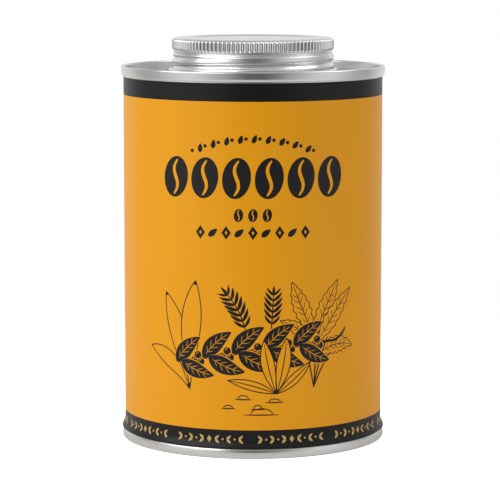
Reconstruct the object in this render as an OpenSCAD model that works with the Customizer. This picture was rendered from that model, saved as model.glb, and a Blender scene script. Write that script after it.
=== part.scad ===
// Round screw-top coffee tin: a three-piece tinplate can with a double seam at each end,
// a threaded neck crimped into its top end, a knurled screw cap with a two-ply liner,
// and a printed wrap label. Millimetres, +Z up, origin where the axis meets the table.

/* [Can] */
// Outside diameter of the bare tinplate body
body_d = 85.8; // [80:0.2:100]
// Height of the can over both seams, without the cap
can_h = 124.1; // [100:0.1:160]
// Thickness of the tinplate in the body and both ends
plate_t = 0.22; // [0.18:0.01:0.24]
// Height of each double seam
seam_h = 3.2; // [3:0.1:3.4]
// Depth of the top panel below the upper rim
panel_depth = 3.5; // [3:0.1:4.5]
// Height of the bottom panel above the table
base_recess = 3.6; // [3.2:0.1:4.5]

/* [Neck] */
// Outside diameter of the neck's plain wall
neck_d = 51.2; // [46:0.1:54]
// Thickness of the neck's sheet
neck_t = 0.28; // [0.24:0.01:0.3]

/* [Thread] */
// Rise of the thread in one turn
thread_pitch = 2.9; // [2.6:0.1:3.2]
// Height of each thread bead, from its wall to its tip
thread_depth = 0.75; // [0.6:0.05:0.8]
// Turns of the bead outside the neck
neck_turns = 1.25; // [1:0.05:1.4]
// Turns of the bead inside the cap
cap_turns = 1; // [0.8:0.05:1]

/* [Cap] */
// Height of the cap from its curled hem to its top
cap_h = 11.5; // [11:0.1:12]
// Gap between the cap's curled hem and the top panel
cap_lift = 1.2; // [1:0.1:1.5]
// Thickness of the cap's sheet
cap_t = 0.25; // [0.22:0.01:0.28]
// Number of knurls round the crown
knurls = 110; // [90:2:130]
// Radial depth of a knurl
knurl_depth = 0.45; // [0.3:0.05:0.5]
// Thickness of the liner's board
board_t = 1; // [0.8:0.05:1.1]
// Thickness of the liner's facing film
film_t = 0.15; // [0.1:0.05:0.2]

/* [Label] */
// Thickness of the label
label_t = 0.1; // [0.08:0.01:0.15]
// Width of the overlap where the label's ends meet
label_lap = 8; // [5:1:12]
// Bare metal left between the label and the upper seam
label_gap = 0.35; // [0.2:0.05:0.6]
// How far the label's lower edge stands out over the lower seam
label_flare = 0.95; // [0.9:0.01:1]

/* [Hidden] */
$fn = 96;

bend_step = 15;                    // degrees of bend in each flat of a pressed profile
play = 0.03;                       // gap between the folded layers of a seam
lean = 0.05;                       // outward slope of the wall and its seam towards each rim
lean_span = 4.2;                   // height over which it slopes
layer = plate_t + play;            // one folded layer and its gap
fold_r = layer;                    // centre-line radius of a hook's fold
wall_r = body_d / 2 - plate_t / 2; // centre line of the body wall
hook_r = wall_r + 2 * layer;       // centre line of the body hook
chuck_r = wall_r - layer;          // centre line of an end's chuck wall
skirt_r = wall_r + 3 * layer;      // centre line of an end's outer seam wall
rim_r = 0.4;                       // bend at each side of a seam's flat crown
crown_w = skirt_r - chuck_r - 2 * rim_r;
hook_len = 1.8;                    // straight part of each hook
hook_drop = 0.6;                   // from a rim to the centre of the body hook's fold
panel_z = can_h - panel_depth;     // top face of the top panel
groove_depth = 0.8;                // countersink groove, from its panel
groove_in = 2.6;                   // from the chuck wall to the inner side of that groove
groove_r = 0.6;

neck_r = neck_d / 2;
hole_r = neck_r + 0.05;            // hole in the top panel
lip_r = 0.75;                      // radius of the neck's rolled lip
flange_w = 1.8;                    // how far the neck's crimped flanges reach
seal_t = 0.1;                      // compound between neck and panel

thread_gap = 0.27;                 // radial clearance between bead tips and walls
cap_in_r = neck_r + thread_depth + thread_gap;
skirt_wall_r = cap_in_r + cap_t / 2;
cap_bottom = panel_z + cap_lift;
cap_top = cap_bottom + cap_h;
hem_r = 0.6;                       // centre-line radius of the cap's curled hem
crown_r = cap_in_r + cap_t;        // outside of the knurls
knurl_root = crown_r - knurl_depth;
knurl_sink = 0.08;                 // how far the knurls' roots lie inside the sheet
knurl_drop = 0.7;                  // from the cap's top to the upper end of the knurls
knurl_h = 3.7;
shoulder_r = 0.9;                  // bend between the cap's top and its side
waist_z = cap_top - 5;             // the narrow waist below the knurls
waist_r = neck_r + thread_gap + cap_t / 2;
dish_depth = 0.3;                  // shallow recess in the cap's top
dish_d = 42;
liner_r = waist_r + 0.03;
liner_play = 0.15;                 // between the liner and the cap
seal_gap = 0.1;                    // between the liner and the neck's lip
liner_top = cap_top - cap_t - dish_depth - liner_play;
liner_low = liner_top - board_t - film_t;
neck_top = liner_low - seal_gap;   // top of the neck's lip
bead_steps = 36;                   // thread rings in a turn
bead_fade = 20;                    // degrees over which a thread bead rises or dies away

// A pressed sheet's centre line. Each step is a straight run, then a bend: [length, angle, radius].
// A positive angle bends to the left. Each point returned is [x, y, heading].
function track(steps, p, h, i = 0) =
    i == len(steps) ? [] :
    let(s = steps[i],
        q = p + s[0] * [cos(h), sin(h)],
        n = ceil(abs(s[1]) / bend_step),
        side = sign(s[1]),
        c = q + side * s[2] * [-sin(h), cos(h)],
        arc = [for (k = [1:1:n]) let(a = h + s[1] * k / n)
            [c.x + side * s[2] * sin(a), c.y - side * s[2] * cos(a), a]],
        end = n > 0 ? arc[n - 1] : [q.x, q.y, h])
    concat(i == 0 ? [[p.x, p.y, h]] : [],
        s[0] > 0 ? [[q.x, q.y, h]] : [],
        arc,
        track(steps, [end.x, end.y], end[2], i + 1));

// The outline of a sheet of thickness t that follows a track.
function ribbon(path, t) = concat(
    [for (p = path) [p.x - t / 2 * sin(p[2]), p.y + t / 2 * cos(p[2])]],
    [for (i = [len(path) - 1:-1:0]) let(p = path[i])
        [p.x + t / 2 * sin(p[2]), p.y - t / 2 * cos(p[2])]]);

// The wall and everything folded round it slopes outwards over the last stretch to a rim.
function leaned(pts, low, high) = [for (p = pts)
    [p.x + lean * max(0, low + lean_span - p.y, p.y + lean_span - high), p.y]];

module pressed(steps, start, heading, t)
    rotate_extrude() polygon(ribbon(track(steps, start, heading), t));

module leaning(steps, start, heading, t, low, high)
    rotate_extrude() polygon(leaned(ribbon(track(steps, start, heading), t), low, high));

module ring(r_in, r_out, z_low, z_high)
    translate([0, 0, z_low]) difference() {
        cylinder(r = r_out, h = z_high - z_low);
        translate([0, 0, -1]) cylinder(r = r_in, h = z_high - z_low + 2);
    }

// A right-hand helical bead. It starts at height z0 and angle a0, climbs `turns` turns,
// and stands from radius r_root to radius r_tip, fading in and out at its ends.
module thread_bead(r_root, r_tip, z0, a0, turns, w_root, w_tip) {
    n = round(turns * bead_steps);
    function rise(k) = min(1, min(k, n - k) * 360 / bead_steps / bead_fade);
    rings = [for (k = [0:n]) let(
            a = a0 + k * 360 / bead_steps,
            z = z0 + k * thread_pitch / bead_steps,
            f = max(rise(k), 0.02),
            tip = r_root + (r_tip - r_root) * f,
            inward = r_tip < r_root ? -1 : 1)
        for (c = [[r_root, -w_root], [tip, -w_tip], [tip, w_tip], [r_root, w_root]])
            [c.x * cos(a), c.x * sin(a), z + c.y * inward]];
    sides = [for (k = [0:n - 1]) for (j = [0:3]) let(m = (j + 1) % 4, b = 4 * k)
        for (f = [[b + j, b + 4 + m, b + 4 + j], [b + j, b + m, b + 4 + m]]) f];
    polyhedron(rings, concat([[3, 2, 1, 0]], sides, [[4 * n, 4 * n + 1, 4 * n + 2, 4 * n + 3]]));
}

// Body: a rolled cylinder whose edges fold outwards into a hook at each end,
// with the raised lap of its welded side seam inside, at the back.
module body_shell() {
    color("gainsboro") union() {
        leaning([[hook_len, -180, fold_r], [lean_span - hook_drop, 0, 0],
            [can_h - 2 * lean_span, 0, 0], [lean_span - hook_drop, -180, fold_r], [hook_len, 0, 0]],
            [hook_r, hook_drop + hook_len], -90, plate_t, 0, can_h);
        rotate([0, 0, 89.5]) rotate_extrude(angle = 1)
            translate([body_d / 2 - plate_t - 0.1, 2 * seam_h])
                square([0.2, can_h - 4 * seam_h]);
    }
}

// Outer part of an end: up the chuck wall, over the flat crown, down the seam wall and into its hook.
function seam_steps(chuck_len) = [
    [chuck_len, -90, rim_r], [crown_w, -90, rim_r],
    [seam_h - rim_r - fold_r - plate_t, -180, fold_r], [hook_len - 0.1, 0, 0]];

// Chuck wall length between the countersink groove's outer bend and the rim's bend.
function chuck_length(depth) = depth + groove_depth - rim_r - groove_r;

module top_end() color("silver")
    leaning(concat(
        [[chuck_r - groove_in - hole_r, -60, groove_r],
         [(groove_depth - 2 * groove_r * (1 - cos(60))) / sin(60), 60, groove_r],
         [groove_in - groove_r - 2 * groove_r * sin(60)
            - (groove_depth - 2 * groove_r * (1 - cos(60))) / tan(60), 90, groove_r]],
        seam_steps(chuck_length(panel_depth))),
        [hole_r, panel_z - plate_t / 2], 0, plate_t, -can_h, can_h);

// The bottom end is the same pressing turned over, closed in the middle,
// with two shallow expansion steps in its panel.
module bottom_end() color("silver") {
    step_h = 0.5;
    step_r = 0.5;
    run = (step_h - 2 * step_r * (1 - cos(45))) / sin(45);
    wide = 2 * step_r * sin(45) + run * cos(45);
    inner = 26;
    outer = 34;
    translate([0, 0, base_recess]) mirror([0, 0, 1])
    leaning(concat(
        [[inner, -45, step_r], [run, 45, step_r],
         [outer - inner - wide, 45, step_r], [run, -45, step_r],
         [chuck_r - groove_in - outer - wide, -60, groove_r],
         [(groove_depth - 2 * groove_r * (1 - cos(60))) / sin(60), 60, groove_r],
         [groove_in - groove_r - 2 * groove_r * sin(60)
            - (groove_depth - 2 * groove_r * (1 - cos(60))) / tan(60), 90, groove_r]],
        seam_steps(chuck_length(base_recess))),
        [0, -plate_t / 2], 0, plate_t, -can_h, base_recess);
}

// Sealing compound squeezed into the pocket under a body hook.
module seam_compound() color("dimgray") {
    low = hook_drop + hook_len + play;
    high = seam_h - plate_t / 2 - fold_r;
    r = [hook_r - plate_t / 2, hook_r + plate_t / 2];
    rotate_extrude() polygon(leaned([[r[0], low], [r[1], low], [r[1], high], [r[0], high]], 0, can_h));
}

module top_seam_compound()
    translate([0, 0, can_h]) mirror([0, 0, 1]) seam_compound();

module bottom_seam_compound() seam_compound();

// Neck: a drawn ring with a rolled lip, an outside thread, and two flanges
// that grip the edge of the top panel's hole.
module neck_ring() {
    wall = neck_r - neck_t / 2;
    roll = lip_r - neck_t / 2;
    low = panel_z - plate_t - neck_t;
    color("silver") union() {
        pressed([[neck_top - lip_r - low, 270, roll], [0.2, 0, 0]], [wall, low], 90, neck_t);
        ring(neck_r - neck_t, neck_r + flange_w, panel_z + seal_t, panel_z + seal_t + 2 * neck_t);
        ring(neck_r - neck_t, neck_r + flange_w - 0.4, low, low + neck_t);
        thread_bead(neck_r - 0.1, neck_r + thread_depth, cap_bottom + 1.95 - thread_pitch * 0.25, 270,
            neck_turns, 0.95, 0.3);
    }
}

module neck_compound() color("dimgray")
    ring(hole_r, neck_r + flange_w - 0.1, panel_z, panel_z + seal_t);

// Label: a sleeve of film that flares out over the lower seam, with its overlap at the back.
function flare(z) = let(u = min(1, z / 2.6))
    label_flare * (1 - u) * (1 - u) * (1 + 2 * u) * (1 - 0.25 * u);

module label_wrap() {
    low = seam_h + 0.12;
    high = can_h - seam_h - label_gap;
    r = body_d / 2;
    rows = [for (i = [0:13]) 0.2 * i];
    lap = label_lap / r * 180 / PI;
    color("orange") union() {
        rotate_extrude() polygon(leaned(concat(
            [for (z = rows) [r + flare(z), low + z]],
            [[r, can_h - lean_span], [r, high], [r + label_t, high], [r + label_t, can_h - lean_span]],
            [for (i = [len(rows) - 1:-1:0]) [r + label_t + flare(rows[i]), low + rows[i]]]), -can_h, can_h));
        rotate([0, 0, 90 - lap / 2]) rotate_extrude(angle = lap)
            translate([r + label_t / 2, low + 3]) square([label_t * 1.5, high - low - 3]);
    }
}

// Cap: a pressed crown with a knurled shoulder, a waist that keeps the liner in,
// a threaded skirt and a curled hem.
function knurl_point(k) =
    let(a = k * 180 / knurls, r = k % 2 == 0 ? crown_r : knurl_root - knurl_sink) r * [cos(a), sin(a)];

module knurl_band() {
    high = cap_top - knurl_drop;
    low = high - knurl_h;
    intersection() {
        translate([0, 0, low]) linear_extrude(height = knurl_h) difference() {
            polygon([for (k = [0:2 * knurls - 1]) knurl_point(k)]);
            circle(r = knurl_root - cap_t / 2);
        }
        rotate_extrude() polygon([
            [knurl_root - 1, low], [knurl_root - knurl_sink, low], [crown_r + 0.1, low + 1.1],
            [crown_r + 0.1, high - 1.8], [knurl_root - knurl_sink, high], [knurl_root - 1, high]]);
    }
}

module cap_shell() {
    dish = (dish_depth - 2 * 0.3 * (1 - cos(30))) / sin(30);
    top_z = cap_top - cap_t / 2 - dish_depth;
    side_r = knurl_root - cap_t / 2;
    step_w = skirt_wall_r - waist_r;
    dish_w = 2 * 0.3 * sin(30) + dish * cos(30);
    side_len = cap_top - cap_t / 2 - shoulder_r - waist_z - 0.6;
    in_step = side_r - waist_r;
    jog_r = 0.4;
    in_a = acos(1 - in_step / (2 * jog_r));
    out_a = acos(1 - step_w / (2 * jog_r));
    low_run = waist_z + 0.6 - 2 * jog_r * sin(in_a) - 2 * jog_r * sin(out_a)
        - cap_bottom - cap_t / 2 - hem_r;
    start_a = 150;
    start_z = cap_bottom + 1.95 + thread_pitch * (start_a - 180) / 360;
    tip = neck_r + thread_gap;
    color("lightgray") difference() {
        union() {
            pressed([
                [dish_d / 2, 30, 0.3], [dish, -30, 0.3],
                [side_r - shoulder_r - dish_d / 2 - dish_w, -90, shoulder_r],
                [side_len, -in_a, jog_r], [0, in_a, jog_r],
                [0, out_a, jog_r], [0, -out_a, jog_r],
                [low_run, 270, hem_r], [0.1, 0, 0]],
                [0, top_z], 0, cap_t);
            knurl_band();
            thread_bead(cap_in_r + 0.17, tip, start_z, start_a, cap_turns, 0.95, 0.3);
        }
        thread_bead(crown_r + 0.25, tip + cap_t, start_z, start_a, cap_turns, 0.85, 0.2);
    }
}

module liner_board() color("wheat")
    translate([0, 0, liner_low + film_t]) cylinder(r = liner_r, h = board_t);

module liner_film() color("white")
    translate([0, 0, liner_low]) cylinder(r = liner_r, h = film_t);

body_shell();
bottom_end();
top_end();
neck_ring();
neck_compound();
top_seam_compound();
bottom_seam_compound();
label_wrap();
cap_shell();
liner_board();
liner_film();
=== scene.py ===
import math

import bmesh
import bpy
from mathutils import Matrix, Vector
from mathutils.geometry import delaunay_2d_cdt


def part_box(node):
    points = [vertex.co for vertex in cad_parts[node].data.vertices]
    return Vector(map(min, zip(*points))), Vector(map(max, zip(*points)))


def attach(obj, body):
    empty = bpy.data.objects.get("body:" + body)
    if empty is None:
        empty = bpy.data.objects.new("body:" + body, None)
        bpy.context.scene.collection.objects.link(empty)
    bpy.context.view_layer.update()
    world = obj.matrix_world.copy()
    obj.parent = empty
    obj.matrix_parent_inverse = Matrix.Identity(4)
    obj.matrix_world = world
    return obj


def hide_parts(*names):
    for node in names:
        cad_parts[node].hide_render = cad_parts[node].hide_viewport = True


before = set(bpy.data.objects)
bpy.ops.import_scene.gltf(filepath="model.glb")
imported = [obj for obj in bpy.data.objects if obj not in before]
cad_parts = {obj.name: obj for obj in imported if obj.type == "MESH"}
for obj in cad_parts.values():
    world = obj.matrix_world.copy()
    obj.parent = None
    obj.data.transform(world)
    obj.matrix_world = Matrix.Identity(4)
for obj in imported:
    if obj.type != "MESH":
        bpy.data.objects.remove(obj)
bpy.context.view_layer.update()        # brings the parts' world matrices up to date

MM = 0.001

# The looks of a screw-top coffee tin. The pressed sheets are turned again from finer profiles than the
# CAD's, and the print is painted flat and then bent round the label.


def box_mm(node):
    low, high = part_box(node)
    return low / MM, high / MM


# ---------------------------------------------------------------- sizes, in millimetres

top_box = box_mm("top_end")
label_box = box_mm("label_wrap")
cap_box = box_mm("cap_shell")
compound_box = box_mm("neck_compound")
neck_box = box_mm("neck_ring")

CAN_H = top_box[1].z
PANEL_Z = compound_box[0].z
LABEL_LOW = label_box[0].z
LABEL_HIGH = label_box[1].z
CAP_TOP = cap_box[1].z
CAP_BOTTOM = cap_box[0].z

BODY_R = 42.9            # outside of the bare body
LABEL_T = 0.1
LABEL_R = BODY_R + LABEL_T
LABEL_FLARE = label_box[1].x - LABEL_R
FLARE_H = 2.6
BAND_LOW = 9.25          # upper edge of the lower black band
BAND_HIGH = 114.7        # lower edge of the upper black band
LAP_W = 8.0              # overlap of the label's two ends
LAP_GAP = 0.015          # between the two layers of the overlap

PLATE_T = 0.22
LAYER = PLATE_T + 0.03   # one folded layer of a seam and its gap
LEAN = 0.05              # outward slope of the wall towards each rim
LEAN_SPAN = 4.2          # height over which it slopes
RIM_R = 0.4
SEAM_H = 3.2
HOOK_LEN = 1.7
GROOVE_DEPTH = 0.8       # the countersink groove round a panel
GROOVE_IN = 2.6          # from the chuck wall to the groove's inner side
GROOVE_R = 0.6
WALL_R = BODY_R - PLATE_T / 2
CHUCK_R = WALL_R - LAYER
SKIRT_R = WALL_R + 3 * LAYER
HOLE_R = 25.65
BASE_RECESS = 3.6

CAP_T = 0.25
SKIRT_WALL_R = 26.745    # centre line of the cap's threaded skirt
WAIST_R = 25.995
HEM_R = 0.6
SHOULDER_R = 0.9
CROWN_R = 26.3           # centre line of the crown's wall under the knurls
WAIST_Z = CAP_TOP - 5
DISH_R = 21.0
DISH_DEPTH = 0.3
KNURLS = 110
KNURL_DEPTH = 0.5
KNURL_FADE = 0.3         # how far inside the crown's wall the knurls vanish
KNURL_LOW = CAP_TOP - 4.1
KNURL_HIGH = CAP_TOP - 0.1
PITCH = 2.9
THREAD_DEPTH = 0.72      # the cap's rolled groove
THREAD_HALF = 1.2
THREAD_START = math.radians(90)
THREAD_TURNS = 1.5
THREAD_Z = CAP_BOTTOM + 2.15 - PITCH * 0.25        # height of the groove's lower end

NECK_R = 25.6            # outside of the neck's plain wall
NECK_T = 0.28
NECK_TOP = neck_box[1].z
NECK_LOW = neck_box[0].z
LIP_R = 0.75
FLANGE_R = neck_box[1].x
LOWER_FLANGE_R = FLANGE_R - 0.4
FLANGE_TOP = PANEL_Z + 0.7
BEAD_HEIGHT = 0.75       # the neck's rolled thread
BEAD_HALF = 1.15
BEAD_TURNS = 1.25
BEAD_START = math.radians(270)
BEAD_Z = CAP_BOTTOM + 1.95 - PITCH * 0.25          # height of the bead's lower end


# ---------------------------------------------------------------- materials

def node_tree(name):
    mat = bpy.data.materials.new(name)
    mat.use_nodes = True
    nodes, links = mat.node_tree.nodes, mat.node_tree.links
    return mat, nodes, links, nodes["Principled BSDF"]


def add(nodes, kind, **values):
    n = nodes.new(kind)
    for key, value in values.items():
        setattr(n, key, value)
    return n


def math_node(nodes, links, operation, a, b):
    n = add(nodes, "ShaderNodeMath", operation=operation)
    for i, v in enumerate([a, b]):
        if isinstance(v, (int, float)):
            n.inputs[i].default_value = v
        else:
            links.new(v, n.inputs[i])
    return n.outputs[0]


def noise(nodes, links, vector, scale, detail=3.0, rough=0.55):
    n = add(nodes, "ShaderNodeTexNoise")
    n.inputs["Scale"].default_value = scale
    n.inputs["Detail"].default_value = detail
    n.inputs["Roughness"].default_value = rough
    links.new(vector, n.inputs["Vector"])
    return n.outputs["Fac"]


def remap(nodes, links, value, low, high, to_low, to_high):
    n = add(nodes, "ShaderNodeMapRange")
    for i, v in enumerate([low, high, to_low, to_high]):
        n.inputs[i + 1].default_value = v
    links.new(value, n.inputs[0])
    return n.outputs[0]


def stretched(nodes, links, scale):
    """Object coordinates, stretched so that noise on them makes streaks."""
    coord = add(nodes, "ShaderNodeTexCoord")
    mapping = add(nodes, "ShaderNodeMapping")
    mapping.inputs["Scale"].default_value = scale
    links.new(coord.outputs["Object"], mapping.inputs["Vector"])
    return coord.outputs["Object"], mapping.outputs["Vector"]


def bump(nodes, links, height, strength, distance, shader):
    n = add(nodes, "ShaderNodeBump")
    n.inputs["Strength"].default_value = strength
    n.inputs["Distance"].default_value = distance
    links.new(height, n.inputs["Height"])
    links.new(n.outputs["Normal"], shader.inputs["Normal"])


def mixed(nodes, links, factor, a, b):
    n = add(nodes, "ShaderNodeMix", data_type="RGBA")
    links.new(factor, n.inputs["Factor"])
    for socket, colour in ((n.inputs[6], a), (n.inputs[7], b)):
        if isinstance(colour, tuple):
            socket.default_value = (*colour, 1.0)
        else:
            links.new(colour, socket)
    return n.outputs[2]


def two_tone(nodes, links, factor, colour, contrast):
    """Between a slightly darker tone and the full colour."""
    return mixed(nodes, links, factor, tuple(c * (1 - contrast) for c in colour), colour)


def link_roughness(nodes, links, factor, low, high, shader):
    links.new(remap(nodes, links, factor, 0.3, 0.7, low, high), shader.inputs["Roughness"])


def weighted(nodes, links, a, b, weight):
    """A blend of two values, with the given weight on the first."""
    first = math_node(nodes, links, "MULTIPLY", a, weight)
    second = math_node(nodes, links, "MULTIPLY", b, 1 - weight)
    return math_node(nodes, links, "ADD", first, second)


def tinplate(name, colour, rough, streak=(30, 30, 2500)):
    """Bright rolled tinplate: fine draw lines round the can and a cloudy polish."""
    mat, nodes, links, shader = node_tree(name)
    shader.inputs["Metallic"].default_value = 1.0
    shader.inputs["IOR"].default_value = 1.8
    plain, lined = stretched(nodes, links, streak)
    lines = noise(nodes, links, lined, 1.0, 2.0)
    cloud = noise(nodes, links, plain, 90.0, 4.0)
    fine = noise(nodes, links, plain, 1400.0, 2.0)
    tone = remap(nodes, links, weighted(nodes, links, lines, cloud, 0.5), 0.35, 0.65, 0.0, 1.0)
    links.new(two_tone(nodes, links, tone, colour, 0.05), shader.inputs["Base Color"])
    link_roughness(nodes, links, cloud, rough * 0.88, rough * 1.14, shader)
    bump(nodes, links, weighted(nodes, links, lines, fine, 0.7), 0.06, 0.02 * MM, shader)
    return mat


def printed(name, colour, rough, worn, wear):
    """Satin printed film: a faint orange peel, soft tone shifts and small worn specks."""
    mat, nodes, links, shader = node_tree(name)
    shader.inputs["Specular IOR Level"].default_value = 0.24
    plain, tall = stretched(nodes, links, (60, 60, 12))
    soft = noise(nodes, links, tall, 1.0, 2.0)
    peel = noise(nodes, links, plain, 900.0, 2.0)
    speck = noise(nodes, links, plain, 420.0, 6.0, 0.7)
    tone = two_tone(nodes, links, remap(nodes, links, soft, 0.3, 0.7, 0.0, 1.0), colour, 0.05)
    scuff = remap(nodes, links, speck, 0.66, 0.72, 0.0, wear)
    links.new(mixed(nodes, links, scuff, tone, worn), shader.inputs["Base Color"])
    link_roughness(nodes, links, soft, rough * 0.92, rough * 1.08, shader)
    bump(nodes, links, peel, 0.10, 0.03 * MM, shader)
    return mat


def plain_stuff(name, colour, rough, grain, depth, contrast=0.12):
    """A dull material with a fine grain, for compound, board and film."""
    mat, nodes, links, shader = node_tree(name)
    plain, _ = stretched(nodes, links, (1, 1, 1))
    n = noise(nodes, links, plain, grain, 5.0, 0.65)
    tone = two_tone(nodes, links, remap(nodes, links, n, 0.3, 0.7, 0.0, 1.0), colour, contrast)
    links.new(tone, shader.inputs["Base Color"])
    link_roughness(nodes, links, n, rough * 0.9, rough * 1.1, shader)
    bump(nodes, links, n, 0.3, depth * MM, shader)
    return mat


steel = tinplate("tinplate_bright", (0.74, 0.74, 0.735), 0.22)
steel_cap = tinplate("tinplate_cap", (0.84, 0.84, 0.835), 0.25, streak=(40, 40, 1500))
steel_inside = tinplate("tinplate_lacquered", (0.78, 0.76, 0.70), 0.32)
amber = printed("print_amber", (0.795, 0.332, 0.003), 0.44, (0.86, 0.50, 0.12), wear=0.10)
black = printed("print_black", (0.0055, 0.0055, 0.0052), 0.40, (0.05, 0.048, 0.045), wear=0.15)
ink = printed("print_ink", (0.0110, 0.0095, 0.0095), 0.42, (0.30, 0.16, 0.05), wear=0.10)
gold = printed("print_gold", (0.52, 0.34, 0.12), 0.36, (0.20, 0.14, 0.06), wear=0.35)
back_film = plain_stuff("label_back", (0.80, 0.79, 0.76), 0.5, 900, 0.01)
compound = plain_stuff("sealing_compound", (0.22, 0.22, 0.215), 0.7, 700, 0.04)
board = plain_stuff("pulp_board", (0.60, 0.49, 0.35), 0.85, 600, 0.08, contrast=0.25)
facing = plain_stuff("liner_facing", (0.88, 0.88, 0.86), 0.35, 500, 0.02, contrast=0.04)


# ---------------------------------------------------------------- pressed sheet profiles

def track(steps, start, heading, bend=9):
    """A sheet's centre line. Each step is a straight run, then a bend: (length, angle, radius)."""
    x, y, h = start[0], start[1], math.radians(heading)
    points = [(x, y, h)]
    for length, angle, radius in steps:
        x, y = x + length * math.cos(h), y + length * math.sin(h)
        if length > 0:
            points.append((x, y, h))
        side = math.copysign(1, angle)
        cx, cy = x - side * radius * math.sin(h), y + side * radius * math.cos(h)
        count = math.ceil(abs(angle) / bend)
        for k in range(1, count + 1):
            a = h + math.radians(angle) * k / count
            points.append((cx + side * radius * math.sin(a), cy - side * radius * math.cos(a), a))
        if count:
            x, y, h = points[-1]
    return points


def ribbon(path, t):
    """The closed outline of a sheet of thickness t along a track."""
    left = [(x - t / 2 * math.sin(h), y + t / 2 * math.cos(h)) for x, y, h in path]
    right = [(x + t / 2 * math.sin(h), y - t / 2 * math.cos(h)) for x, y, h in path]
    return left + right[::-1]


def leaned(points, low, high):
    """Slopes a wall outwards near the rims at the heights low and high."""
    return [(x + LEAN * max(0, low + LEAN_SPAN - y, y + LEAN_SPAN - high), y) for x, y in points]


def dense(points, low, high, step):
    """Adds points along the outline between two heights, so that relief can be pressed into it."""
    out = []
    for (x0, y0), (x1, y1) in zip(points, points[1:] + points[:1]):
        out.append((x0, y0))
        inside = low < (y0 + y1) / 2 < high
        count = math.ceil(math.hypot(x1 - x0, y1 - y0) / step) if inside else 1
        for k in range(1, count):
            out.append((x0 + (x1 - x0) * k / count, y0 + (y1 - y0) * k / count))
    return out


def finish_mesh(bm, name, materials, sharp=35):
    bmesh.ops.remove_doubles(bm, verts=bm.verts, dist=1e-7)
    bmesh.ops.recalc_face_normals(bm, faces=bm.faces)
    mesh = bpy.data.meshes.new(name)
    bm.to_mesh(mesh)
    bm.free()
    mesh.shade_smooth()
    mesh.set_sharp_from_angle(angle=math.radians(sharp))
    obj = bpy.data.objects.new(name, mesh)
    bpy.context.scene.collection.objects.link(obj)
    for m in materials:
        mesh.materials.append(m)
    return obj


def skin(bm, row, after, skipped=()):
    """Faces between two closed loops of vertices, in the order of their outline."""
    faces = []
    for j in range(len(row)):
        if j not in skipped:
            m = (j + 1) % len(row)
            faces.append(bm.faces.new((row[j], after[j], after[m], row[m])))
    return faces


def lathe(name, outline, segments, materials, relief=None, sharp=35):
    """Turns a closed outline of (radius, height) points, in millimetres, round the axis."""
    bm = bmesh.new()
    rings = []
    for k in range(segments):
        a = 2 * math.pi * k / segments
        ring = []
        for r, z in outline:
            if relief:
                r += relief(r, z, a)
            ring.append(bm.verts.new((r * math.cos(a) * MM, r * math.sin(a) * MM, z * MM)))
        rings.append(ring)
    following = outline[1:] + outline[:1]
    on_axis = {j for j, (p, q) in enumerate(zip(outline, following)) if max(p[0], q[0]) < 1e-6}
    for ring, after in zip(rings, rings[1:] + rings[:1]):
        skin(bm, ring, after, on_axis)
    return finish_mesh(bm, name, materials, sharp)


def smooth_step(x):
    x = min(1.0, max(0.0, x))
    return x * x * (3 - 2 * x)


# ---------------------------------------------------------------- ends

def jog(angle, radius, step):
    """The straight run between two equal and opposite bends that shift a sheet by `step`,
    and the length that the whole jog takes up."""
    a = math.radians(angle)
    run = (step - 2 * radius * (1 - math.cos(a))) / math.sin(a)
    return run, 2 * radius * math.sin(a) + run * math.cos(a)


GROOVE_RUN, GROOVE_SHIFT = jog(60, GROOVE_R, GROOVE_DEPTH)


def end_steps(flat, depth):
    """From a flat panel through the countersink groove, over the rim and into the hook."""
    crown = SKIRT_R - CHUCK_R - 2 * RIM_R
    tuck_a, tuck_r, tuck_run = 14, 3.0, 0.3
    tuck = math.radians(tuck_a)
    tuck_h = tuck_r * math.sin(tuck) + tuck_run * math.cos(tuck)
    tuck_w = tuck_r * (1 - math.cos(tuck)) + tuck_run * math.sin(tuck)
    fold = LAYER - tuck_w / 2
    return [
        (flat, -60, GROOVE_R),
        (GROOVE_RUN, 60, GROOVE_R),
        (GROOVE_IN - GROOVE_R - GROOVE_SHIFT, 90, GROOVE_R),
        (depth + GROOVE_DEPTH - RIM_R - GROOVE_R, -90, RIM_R),
        (crown, -90, RIM_R),
        (SEAM_H - RIM_R - tuck_h - fold - PLATE_T, -tuck_a, tuck_r),
        (tuck_run, tuck_a - 180, fold),
        (HOOK_LEN, 0, 0)]


def make_top_end():
    steps = end_steps(CHUCK_R - GROOVE_IN - HOLE_R, CAN_H - PANEL_Z)
    path = track(steps, (HOLE_R, PANEL_Z - PLATE_T / 2), 0)
    return lathe("top_end_sheet", leaned(ribbon(path, PLATE_T), -CAN_H, CAN_H), 256, [steel])


def make_bottom_end():
    """Like the top end but turned over and closed, with two shallow steps in its panel."""
    inner, outer, step_r, step_h = 26.0, 34.0, 0.5, 0.5
    run, wide = jog(45, step_r, step_h)
    steps = [(inner, -45, step_r), (run, 45, step_r)]
    steps += [(outer - inner - wide, 45, step_r), (run, -45, step_r)]
    steps += end_steps(CHUCK_R - GROOVE_IN - outer - wide, BASE_RECESS)
    outline = leaned(ribbon(track(steps, (0, -PLATE_T / 2), 0), PLATE_T), -CAN_H, BASE_RECESS)
    return lathe("bottom_end_sheet", [(r, BASE_RECESS - z) for r, z in outline], 256, [steel])


# ---------------------------------------------------------------- cap

def knurl_window(z):
    """Lets the knurls run out above and below (0 to 1)."""
    return smooth_step((z - KNURL_LOW) / 0.8) * smooth_step((KNURL_HIGH - z) / 0.7)


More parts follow.
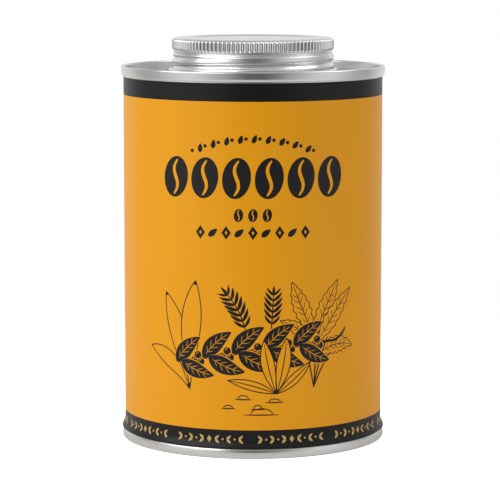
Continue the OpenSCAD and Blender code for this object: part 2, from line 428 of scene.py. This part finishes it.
def thread_roll(z, angle, start, low, turns, half):
    """How far a rolled thread stands out (0 to 1) at a height and an angle."""
    total = 2 * math.pi * turns
    height = 0.0
    for turn in range(3):
        along = angle + 2 * math.pi * turn - start
        off = z - low - PITCH * along / (2 * math.pi)
        if 0 <= along <= total and abs(off) < half:
            fade = smooth_step(along / 0.9) * smooth_step((total - along) / 1.4)
            height += math.cos(math.pi * off / (2 * half)) ** 2 * fade
    return height


def cap_relief(r, z, angle):
    """Knurls round the crown and the rolled helical groove of the skirt."""
    shift = 0.0
    if r > CROWN_R - KNURL_FADE and z > WAIST_Z:
        rib = abs(math.cos(KNURLS * angle / 2))
        outer = smooth_step((r - CROWN_R + KNURL_FADE) / KNURL_FADE)
        shift += (KNURL_DEPTH * rib + 0.02) * knurl_window(z) * outer
    if r > WAIST_R - CAP_T and z < WAIST_Z + 0.4:
        groove = thread_roll(z, angle, THREAD_START, THREAD_Z, THREAD_TURNS, THREAD_HALF)
        shift -= THREAD_DEPTH * groove * smooth_step((r - WAIST_R + 0.2) / 0.6)
    return shift


def make_cap():
    """A dished top, the knurled crown, the waist, the threaded skirt and a hem rolled inwards."""
    dish_a, dish_r, jog_r = 30, 0.3, 0.4
    dish_run, dish_w = jog(dish_a, dish_r, DISH_DEPTH)
    in_a = math.acos(1 - (CROWN_R - WAIST_R) / (2 * jog_r))
    out_a = math.acos(1 - (SKIRT_WALL_R - WAIST_R) / (2 * jog_r))
    bends = 2 * jog_r * (math.sin(in_a) + math.sin(out_a))
    in_a, out_a = math.degrees(in_a), math.degrees(out_a)
    waist_top = WAIST_Z + 0.6
    steps = [
        (DISH_R, dish_a, dish_r),
        (dish_run, -dish_a, dish_r),
        (CROWN_R - SHOULDER_R - DISH_R - dish_w, -90, SHOULDER_R),
        (CAP_TOP - CAP_T / 2 - SHOULDER_R - waist_top, -in_a, jog_r),
        (0, in_a, jog_r),
        (0, out_a, jog_r),
        (0, -out_a, jog_r),
        (waist_top - bends - CAP_BOTTOM - CAP_T / 2 - HEM_R, 270, HEM_R),
        (0.1, 0, 0)]
    path = track(steps, (0, CAP_TOP - CAP_T / 2 - DISH_DEPTH), 0)
    outline = dense(ribbon(path, CAP_T), CAP_BOTTOM + 0.8, KNURL_HIGH, 0.28)
    return lathe("cap_pressing", outline, KNURLS * 6, [steel_cap], relief=cap_relief, sharp=60)


# ---------------------------------------------------------------- neck

def neck_relief(r, z, angle):
    """The thread rolled out of the neck's plain wall, on both faces of the sheet."""
    if r < NECK_R - NECK_T - 0.01 or not FLANGE_TOP < z < NECK_TOP - LIP_R:
        return 0.0
    return BEAD_HEIGHT * thread_roll(z, angle, BEAD_START, BEAD_Z, BEAD_TURNS, BEAD_HALF)


def make_neck():
    """A flange under the panel, the threaded wall and a lip rolled inwards."""
    bend, roll = 0.2, LIP_R - NECK_T / 2
    wall = NECK_R - NECK_T / 2
    low = NECK_LOW + NECK_T / 2
    steps = [
        (LOWER_FLANGE_R - wall - bend, -90, bend),
        (NECK_TOP - LIP_R - low - bend, 270, roll),
        (0.2, 0, 0)]
    path = track(steps, (LOWER_FLANGE_R, low), 180)
    outline = dense(ribbon(path, NECK_T), FLANGE_TOP, NECK_TOP - LIP_R, 0.25)
    return lathe("neck_sheet", outline, 240, [steel], relief=neck_relief)


def make_neck_flange():
    """The sheet folded back on itself above the panel."""
    run = FLANGE_R - NECK_R - NECK_T / 2
    start = (NECK_R - 0.02, compound_box[1].z + NECK_T / 2)
    path = track([(run, 180, NECK_T / 2), (run, 0, 0)], start, 0)
    return lathe("neck_flange", ribbon(path, NECK_T - 0.02), 240, [steel])


# ---------------------------------------------------------------- label

def flare(z):
    """How far the label stands off the body at height z, over the lower seam."""
    u = min(1.0, max(0.0, (z - LABEL_LOW) / FLARE_H))
    return LABEL_FLARE * (1 - u) ** 2 * (1 + 2 * u) * (1 - 0.25 * u)


def label_surface(z):
    """Radius of the printed face at height z."""
    return LABEL_R + flare(z) + LEAN * max(0, z + LEAN_SPAN - CAN_H)


LAP = LAP_W / LABEL_R    # angle of the overlap
LAP_START = math.pi / 2 - LAP / 2


def lap_climb(along):
    """How far the sheet has climbed over its own first end, at an angle along it."""
    return (LABEL_T + LAP_GAP) * smooth_step((along - 2 * math.pi + 1.2 * LAP) / (0.8 * LAP))


def make_label():
    """One sheet wound once round the body, with its ends overlapping at the back."""
    heights = [LABEL_LOW + FLARE_H * k / 20 for k in range(21)]
    heights += [BAND_LOW, 40, 70, 100, BAND_HIGH, CAN_H - LEAN_SPAN, LABEL_HIGH]
    outer = [(label_surface(z), z) for z in heights]
    outline = outer + [(r - LABEL_T, z) for r, z in outer[::-1]]
    middles = [(low + high) / 2 for low, high in zip(heights, heights[1:])]
    inks = [0 if BAND_LOW < z < BAND_HIGH else 1 for z in middles]
    inks += [2] * (len(outline) - len(inks))
    stations = 360
    bm = bmesh.new()
    rows = []
    for k in range(stations + 1):
        along = (2 * math.pi + LAP) * k / stations
        climb, a = lap_climb(along), LAP_START + along
        across, up = math.cos(a) * MM, math.sin(a) * MM
        rows.append([bm.verts.new(((r + climb) * across, (r + climb) * up, z * MM)) for r, z in outline])
    for row, after in zip(rows, rows[1:]):
        for face, side in zip(skin(bm, row, after), inks):
            face.material_index = side
    for row in (rows[0], rows[-1]):
        for j in range(len(outer) - 1):
            edge = bm.faces.new((row[j], row[j + 1], row[-2 - j], row[-1 - j]))
            edge.material_index = 2
    return finish_mesh(bm, "label_sheet", [amber, black, back_film])


# ---------------------------------------------------------------- printed ornaments

INK_T = 0.012            # how far the ink stands off the label
STRIP = 1.2              # the print is cut into strips this wide before it is bent round the can
LEAF_STEPS = 28
VEIN_FIRST, VEIN_SPAN = 5, 18        # the steps along a leaf where its veins branch off
ARC_TOP, ARC_DROP, ARC_HALF_W = 103.0, 4.0, 20.0
BOLD_ROW, SMALL_ROW, LOZENGE_ROW, BAND_ROW = 90.4, 78.6, 73.0, 6.2
BAND_GROUPS = 10
BAND_SHIFT = 12.7        # from the front of the tin to the first group on its right


def signed_area(points):
    return sum(a[0] * b[1] - b[0] * a[1] for a, b in zip(points, points[1:] + points[:1])) / 2


def flatten(layers):
    """Paints closed outlines over each other, and returns the parts that end up inked.

    Each layer is (outline, inked), and a later layer covers the earlier ones."""
    points, outlines = [], []
    for outline, _ in layers:
        loop = outline if signed_area(outline) > 0 else outline[::-1]
        outlines.append(list(range(len(points), len(points) + len(loop))))
        points += [Vector(q) for q in loop]
    verts, _, faces, _, _, owners = delaunay_2d_cdt(points, [], outlines, 1, 1e-4)
    return verts, [f for f, own in zip(faces, owners) if own and layers[max(own)][1]]


def ink_slab(verts, faces):
    """A flat print with a front, a back and edges, in millimetres."""
    bm = bmesh.new()
    low = [bm.verts.new((v.x, v.y, -INK_T)) for v in verts]
    high = [bm.verts.new((v.x, v.y, INK_T)) for v in verts]
    edges = {(a, b) for f in faces for a, b in zip(f, f[1:] + f[:1])}
    for f in faces:
        bm.faces.new([high[i] for i in f])
        bm.faces.new([low[i] for i in reversed(f)])
    for a, b in edges:
        if (b, a) not in edges:
            bm.faces.new((low[a], low[b], high[b], high[a]))
    bmesh.ops.delete(bm, geom=[v for v in bm.verts if not v.link_faces], context="VERTS")
    return bm


def bend_round(bm):
    """Bends a flat print round the label, over its flare and its overlap."""
    xs = [v.co.x for v in bm.verts]
    for k in range(math.ceil(min(xs) / STRIP), math.floor(max(xs) / STRIP) + 1):
        geom = bm.verts[:] + bm.edges[:] + bm.faces[:]
        bmesh.ops.bisect_plane(bm, geom=geom, dist=1e-5, plane_co=(k * STRIP, 0, 0), plane_no=(1, 0, 0))
    for v in bm.verts:
        x, z, up = v.co
        a = -math.pi / 2 + x / LABEL_R
        along = (a - LAP_START) % (2 * math.pi)
        r = label_surface(z) + up + lap_climb(along if along > LAP else along + 2 * math.pi)
        v.co = (r * math.cos(a) * MM, r * math.sin(a) * MM, z * MM)


def prints(name, layers, material):
    """Ink on the label, from layers of (across, up) points in millimetres."""
    bm = ink_slab(*flatten(layers))
    bend_round(bm)
    return finish_mesh(bm, name, [material])


def place(points, x, y, turn=0.0):
    c, s = math.cos(turn), math.sin(turn)
    return [(x + c * px - s * py, y + s * px + c * py) for px, py in points]


def ellipse(x, y, rx, ry, turn=0.0, count=28):
    angles = [2 * math.pi * k / count for k in range(count)]
    return place([(rx * math.cos(a), ry * math.sin(a)) for a in angles], x, y, turn)


def lozenge(x, y, half_w, half_h, turn=0.0):
    return place([(-half_w, 0), (0, -half_h), (half_w, 0), (0, half_h)], x, y, turn)


def midline(x, y, length, turn, bend, count):
    """Points and headings along a stem that starts at (x, y) and bends evenly."""
    out = []
    for k in range(count + 1):
        out.append((x, y, turn))
        x += length / count * math.cos(turn)
        y += length / count * math.sin(turn)
        turn += bend / count
    return out


def sides(line, half_widths):
    """The outline at the given half widths either side of a midline."""
    left = [(x - w * math.sin(h), y + w * math.cos(h)) for (x, y, h), w in zip(line, half_widths)]
    right = [(x + w * math.sin(h), y - w * math.cos(h)) for (x, y, h), w in zip(line, half_widths)]
    return left + right[::-1]


def stroke(line, width, taper=0.35):
    """A brush stroke along a midline, thinner towards both ends."""
    n = len(line) - 1
    swell = [math.sin(math.pi * k / n) ** 0.6 if 0 < k < n else 0 for k in range(n + 1)]
    return sides(line, [width / 2 * (taper + (1 - taper) * f) for f in swell])


def leaf_half(t, wide, fullest=0.4, wave=0.0):
    """Half width of a leaf blade at t along it. Its margin may be wavy."""
    p = math.log(0.5) / math.log(fullest)
    ripple = 1 - wave * (0.5 + 0.5 * math.cos(14 * math.pi * t))
    return wide / 2 * math.sin(math.pi * t ** p) ** 0.85 * ripple


def leaf(x, y, length, wide, turn, bend=0.0, inset=0.0, fullest=0.4, wave=0.0):
    """A leaf's outline. An inset one is the inside of a leaf drawn as a line."""
    line = midline(x, y, length, turn, bend, LEAF_STEPS)
    along = [0.01 + 0.98 * k / LEAF_STEPS for k in range(LEAF_STEPS + 1)]
    halves = [leaf_half(t, wide, fullest, wave) - inset for t in along]
    kept = [(p, w) for p, w in zip(line, halves) if w > 0.04]
    return sides([p for p, _ in kept], [w for _, w in kept])


class Artwork:
    """Shapes painted over each other in ink, or left bare so that the label shows."""

    def __init__(self):
        self.layers = []

    def ink(self, outline):
        self.layers.append((outline, True))

    def bare(self, outline):
        self.layers.append((outline, False))

    def veins(self, paint, line, count, pen, reach, lean=0.8):
        for k in range(count):
            step = VEIN_SPAN * k / count
            x, y, h = line[VEIN_FIRST + round(step)]
            size = reach * leaf_half((VEIN_FIRST + step) / LEAF_STEPS, 2)
            for side in (-1, 1):
                paint(stroke(midline(x, y, size, h + side * lean, -side * 0.3, 5), pen))

    def dark_leaf(self, x, y, length, wide, turn, bend=0.0):
        self.bare(leaf(x, y, length * 1.03, wide + 0.7, turn, bend))
        self.ink(leaf(x, y, length, wide, turn, bend))
        line = midline(x, y, length, turn, bend, LEAF_STEPS)
        self.bare(stroke(line[3:-3], 0.24))
        self.veins(self.bare, line, 4, 0.19, wide * 0.48)

    def line_leaf(self, x, y, length, wide, turn, bend, fullest, wave=0.0, pen=0.34, rib=True, veins=0):
        self.ink(leaf(x, y, length, wide, turn, bend, 0, fullest, wave))
        self.bare(leaf(x, y, length, wide, turn, bend, pen, fullest, wave))
        line = midline(x, y, length, turn, bend, LEAF_STEPS)
        if rib:
            self.ink(stroke(line[:-2], pen))
        self.veins(self.ink, line, veins, pen * 0.7, wide * 0.42)

    def stem(self, x, y, length, turn, bend, pen):
        self.ink(stroke(midline(x, y, length, turn, bend, 20), pen, 0.6))

    def bean(self, x, y, wide, tall, turn=0.0):
        self.ink(ellipse(x, y, wide / 2, tall / 2, turn, 44))
        steps = [k / 24 for k in range(25)]
        swing, rise = 0.11 * wide, 0.86 * tall
        crease = [(swing * math.sin(2 * math.pi * t), rise * (t - 0.5)) for t in steps]
        slope = [math.atan2(rise, swing * 2 * math.pi * math.cos(2 * math.pi * t)) for t in steps]
        crease = place(crease, x, y, turn)
        self.bare(stroke([(px, py, h + turn) for (px, py), h in zip(crease, slope)], wide * 0.13))

    def cherry(self, x, y, r):
        self.bare(ellipse(x, y, r + 0.3, r + 0.3))
        self.ink(ellipse(x, y, r, r))
        self.bare(stroke(midline(x - r * 0.5, y + r * 0.05, r * 0.9, 1.25, -1.3, 6), 0.26))

    def frond(self, x, y, length, turn, bend, leaflets, reach):
        line = midline(x, y, length, turn, bend, leaflets)
        self.ink(stroke(line, 0.45, 0.6))
        for k, (px, py, h) in enumerate(line[2:]):
            size = reach * math.sin(math.pi * (0.3 + 0.64 * k / leaflets)) ** 0.8
            for side in (-1, 1):
                self.ink(leaf(px, py, size, size * 0.24, h + side * 0.95, -side * 0.45))
        self.ink(leaf(*line[-1][:2], reach * 0.7, reach * 0.2, line[-1][2]))

    def mound(self, x, y, wide, tall):
        angles = [math.pi * k / 16 for k in range(17)]
        arch = [(x + wide / 2 * math.cos(a), y + tall * math.sin(a)) for a in angles]
        slope = [math.atan2(tall * math.cos(a), -wide / 2 * math.sin(a)) for a in angles]
        self.ink(stroke([(px, py, h) for (px, py), h in zip(arch, slope)], 0.34, 0.6))
        self.ink(stroke([(x + wide * (k / 5 - 0.8), y - 0.15, 0) for k in range(9)], 0.42))


def heading_rows(art):
    """The arc, the bold row and the two small rows in the upper half of the label."""
    for k in range(19):
        t = (k - 9) / 9
        x, y, tilt = ARC_HALF_W * t, ARC_TOP - ARC_DROP * t * t, -0.4 * t
        if k % 2:
            art.ink(leaf(*place([(0, -1.4)], x, y, tilt)[0], 2.9, 1.6, math.pi / 2 + tilt - 0.4))
        else:
            art.ink(ellipse(x, y, 0.58, 0.58, count=16))
    for k in range(6):
        art.bean((k - 2.5) * 10.5, BOLD_ROW, 9.2, 13.2, -0.14)
    for k in (-1, 0, 1):
        art.bean(k * 4.6, SMALL_ROW, 3.0, 4.2, -0.14)
    for k in range(9):
        x = (k - 4) * 4.3
        if k % 2:
            art.ink(leaf(x - 1.5, LOZENGE_ROW - 1.2, 3.8, 1.9, 0.7))
        else:
            art.ink(lozenge(x, LOZENGE_ROW, 1.55, 2.2))
            art.bare(lozenge(x, LOZENGE_ROW, 0.45, 0.7))


def left_plant(art):
    for length, wide, turn, bend, fullest in (
            (22, 5.2, 2.00, 0.95, 0.60),
            (33, 6.6, 1.74, 0.25, 0.60),
            (36, 7.4, 1.62, -0.22, 0.62)):
        art.line_leaf(-21.0, 21.3, length, wide, turn, bend, fullest, rib=False)


def right_plant(art):
    for x, y, length, wide, turn, bend in (
            (19.5, 41.0, 17.5, 6.6, 2.02, -0.10),
            (20.8, 40.0, 19.0, 6.4, 1.15, -0.12),
            (22.0, 37.5, 21.0, 6.2, 0.98, -0.18),
            (22.4, 33.5, 14.5, 6.4, 0.55, -0.95),
            (18.8, 38.5, 12.0, 4.6, 2.35, 0.50)):
        art.line_leaf(x, y, length, wide, turn, bend, 0.45, 0.22, 0.32, veins=5)
    for turn, length, bend in (
            (1.75, 19, 0.12),
            (1.52, 18, -0.1),
            (1.38, 17, -0.25),
            (1.2, 12.5, -0.3)):
        art.stem(20.3, 22.5, length, turn, bend, 0.5)


def branch(art):
    """A long coffee branch with pairs of dark leaves and clusters of cherries between them."""
    line = midline(-26.0, 30.5, 56, 0.22, -0.20, 56)
    art.ink(stroke(line, 1.3, 0.5))
    art.ink(stroke(midline(*line[52][:2], 9.0, -0.1, 1.25, 16), 0.9, 0.4))
    for k in range(5):
        x, y, _ = line[8 + 10 * k]
        for dx, dy, r in ((-1.3, -0.7, 1.2), (1.1, -1.0, 1.15), (0.0, 1.1, 1.2)):
            art.cherry(x + dx, y + dy, r)
    for k in range(4, -1, -1):
        for side in (1, -1):
            x, y, h = line[10 * k + 1 - side]
            length = 13.2 - 0.5 * abs(k - 2)
            art.dark_leaf(x, y, length, length * 0.42, h + side * 0.80, -side * 0.50)


def front_plant(art):
    for length, wide, turn, bend, fullest in (
            (16.5, 3.4, 2.75, 0.25, 0.5),
            (15.5, 3.4, 0.62, 0.20, 0.5),
            (18.0, 4.6, 1.92, -0.25, 0.55),
            (18.5, 4.8, 1.28, 0.22, 0.55)):
        art.line_leaf(7.6, 21.0, length, wide, turn, bend, fullest)


def scene_rows(art):
    """A coffee branch among leaves, with a few mounds of ground under it."""
    left_plant(art)
    right_plant(art)
    art.frond(-1.8, 39.0, 15.5, 1.75, 0.55, 8, 5.0)
    art.frond(5.8, 40.0, 13.0, 1.50, 0.02, 7, 4.6)
    branch(art)
    front_plant(art)
    for x, y, wide, tall in (
            (-3.1, 19.4, 3.4, 1.2),
            (7.0, 18.4, 3.8, 1.0),
            (-8.0, 16.4, 3.0, 0.9),
            (2.8, 14.4, 7.2, 1.9),
            (1.6, 16.2, 2.8, 1.2)):
        art.mound(x, y, wide, tall)


def band_row(art):
    """Small sprays in groups, all round the lower band."""
    pitch = 2 * math.pi * LABEL_R / BAND_GROUPS
    for group in range(BAND_GROUPS):
        centre = BAND_SHIFT + pitch * (group - BAND_GROUPS // 2)
        for k in range(-5, 6):
            x = centre + k * 1.95
            if k == 0:
                art.ink(lozenge(x, BAND_ROW, 0.8, 1.15))
            elif k % 2:
                art.ink(leaf(x, BAND_ROW, 1.9, 0.85, 0.75 if k > 0 else math.pi - 0.75))
                art.ink(leaf(x, BAND_ROW, 1.9, 0.85, -0.75 if k > 0 else math.pi + 0.75))
            else:
                art.ink(ellipse(x + math.copysign(0.6, k), BAND_ROW, 0.36, 0.36, count=12))


# ---------------------------------------------------------------- build the object

for node, mat in (
        ("body_shell", steel_inside),
        ("neck_compound", compound),
        ("top_seam_compound", compound),
        ("bottom_seam_compound", compound),
        ("liner_board", board),
        ("liner_film", facing)):
    for material_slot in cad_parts[node].material_slots:
        material_slot.material = mat

for piece, body, node, finish in (
        (make_top_end(), "tin", "top_end", "tinplate"),
        (make_bottom_end(), "tin", "bottom_end", "tinplate"),
        (make_neck(), "tin", "neck_ring", "tinplate"),
        (make_neck_flange(), "tin", "neck_ring", "tinplate"),
        (make_cap(), "cap", "cap_shell", "cap_steel"),
        (make_label(), "tin", "label_wrap", "label")):
    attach(piece, body)
    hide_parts(node)

dark, pale = Artwork(), Artwork()
heading_rows(dark)
scene_rows(dark)
band_row(pale)
for piece in (prints("print_dark", dark.layers, ink), prints("print_gold", pale.layers, gold)):
    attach(piece, "tin")


# ---------------------------------------------------------------- studio

AIM = Vector((0, 0, 70)) * MM
WALL_LIGHT = (            # from straight behind the tin (0) to straight in front of it (1)
    (0.0, 0.85), (0.12, 0.78), (0.28, 0.44), (0.45, 0.52),
    (0.68, 0.84), (0.80, 0.80), (0.94, 0.45), (1.0, 0.10))
CEILING_LIGHT = (         # from the horizon (0) to straight up (1)
    (0.0, 0.0), (0.28, 0.0), (0.50, 0.55), (0.75, 0.60), (0.90, 0.48), (1.0, 0.42))
DARK_SIDE = math.radians(4)          # how far the dark side is turned from the front
FLOOR_R = 260 * MM
CAMERA_AT = Vector((0, -836.3, 167.9)) * MM
CAMERA_DOWN = 7.205      # degrees below the horizon
CAMERA_TURN = 0.067      # degrees to the left


def area_light(name, azimuth, elevation, distance, size, power):
    """A soft rectangular light that looks at the middle of the tin. Azimuth 0 is in front."""
    a, e = math.radians(azimuth), math.radians(elevation)
    light = bpy.data.lights.new(name, "AREA")
    light.shape = "RECTANGLE"
    light.size, light.size_y = size
    light.energy = power
    obj = bpy.data.objects.new(name, light)
    back = Vector((math.sin(a) * math.cos(e), -math.cos(a) * math.cos(e), math.sin(e)))
    obj.location = AIM + back * distance
    obj.rotation_euler = back.to_track_quat("Z", "Y").to_euler()
    bpy.context.scene.collection.objects.link(obj)


def overhead_light():
    """A very soft sun that lights matt surfaces but isn't mirrored in the metal."""
    sun = bpy.data.lights.new("overhead", "SUN")
    sun.energy = 1.0
    sun.angle = math.radians(80)
    obj = bpy.data.objects.new("overhead", sun)
    obj.rotation_euler = Vector((-0.2, -0.3, 1)).to_track_quat("Z", "Y").to_euler()
    obj.visible_glossy = False
    bpy.context.scene.collection.objects.link(obj)


def grey_ramp(nodes, links, value, stops):
    ramp = add(nodes, "ShaderNodeValToRGB")
    links.new(value, ramp.inputs["Fac"])
    elements = ramp.color_ramp.elements
    elements.remove(elements[1])
    elements[0].position, first = stops[0]
    elements[0].color = (first, first, first, 1)
    for position, grey in stops[1:]:
        elements.new(position).color = (grey, grey, grey, 1)
    return ramp.outputs["Color"]


def toward_front(nodes, links, direction):
    """How far a direction points to the front of the room, from 0 to 1, whatever its height."""
    level = add(nodes, "ShaderNodeVectorMath", operation="MULTIPLY")
    level.inputs[1].default_value = (1, 1, 0)
    links.new(direction, level.inputs[0])
    unit = add(nodes, "ShaderNodeVectorMath", operation="NORMALIZE")
    links.new(level.outputs[0], unit.inputs[0])
    facing = add(nodes, "ShaderNodeVectorMath", operation="DOT_PRODUCT")
    facing.inputs[1].default_value = (math.sin(DARK_SIDE), -math.cos(DARK_SIDE), 0)
    links.new(unit.outputs[0], facing.inputs[0])
    return remap(nodes, links, facing.outputs["Value"], -1, 1, 0, 1)


def room():
    """Soft light all round and dark in front, with plain white as the background in every view."""
    world = bpy.data.worlds.new("studio")
    bpy.context.scene.world = world
    world.use_nodes = True
    nodes, links = world.node_tree.nodes, world.node_tree.links
    direction = add(nodes, "ShaderNodeTexCoord").outputs["Generated"]
    split = add(nodes, "ShaderNodeSeparateXYZ")
    links.new(direction, split.inputs[0])
    height = split.outputs["Z"]
    walls = grey_ramp(nodes, links, toward_front(nodes, links, direction), WALL_LIGHT)
    low = math_node(nodes, links, "MULTIPLY", walls, remap(nodes, links, height, 0.35, 0.80, 1.0, 0.0))
    light = math_node(nodes, links, "MAXIMUM", low, grey_ramp(nodes, links, height, CEILING_LIGHT))
    path = add(nodes, "ShaderNodeLightPath")
    shown = math_node(nodes, links, "MAXIMUM", light, path.outputs["Is Camera Ray"])
    links.new(shown, nodes["Background"].inputs["Strength"])
    nodes["Background"].inputs["Color"].default_value = (1, 1, 1, 1)


def round_floor():
    """A round pale table top, lit a little more for the camera so that it stays white."""
    angles = [2 * math.pi * k / 96 for k in range(96)]
    corners = [(FLOOR_R * math.cos(a), FLOOR_R * math.sin(a), 0) for a in angles]
    mesh = bpy.data.meshes.new("floor")
    mesh.from_pydata(corners, [], [range(len(corners))])
    mat, nodes, links, shader = node_tree("floor_pale")
    shader.inputs["Base Color"].default_value = (0.68, 0.68, 0.68, 1)
    shader.inputs["Roughness"].default_value = 0.8
    shader.inputs["Specular IOR Level"].default_value = 0.1
    shader.inputs["Emission Color"].default_value = (1, 1, 1, 1)
    path = add(nodes, "ShaderNodeLightPath")
    seen = math_node(nodes, links, "MULTIPLY", path.outputs["Is Camera Ray"], 0.90)
    links.new(seen, shader.inputs["Emission Strength"])
    mesh.materials.append(mat)
    floor = bpy.data.objects.new("floor", mesh)
    bpy.context.scene.collection.objects.link(floor)


def add_camera():
    """The camera looks at the front of the tin from slightly above it."""
    data = bpy.data.cameras.new("camera")
    data.sensor_width = 36
    data.lens = 181.1
    data.clip_start = 0.05
    data.clip_end = 60
    camera = bpy.data.objects.new("camera", data)
    camera.location = CAMERA_AT
    camera.rotation_euler = (math.radians(90 - CAMERA_DOWN), 0, math.radians(CAMERA_TURN))
    bpy.context.scene.collection.objects.link(camera)
    bpy.context.scene.camera = camera


area_light("key", -58, 32, 1.0, (1.1, 0.7), 5.1)
area_light("fill", 100, 50, 1.0, (0.5, 0.5), 1.9)
overhead_light()
room()
round_floor()
add_camera()
bpy.context.scene.view_settings.view_transform = "Standard"
bpy.context.scene.view_settings.look = "None"
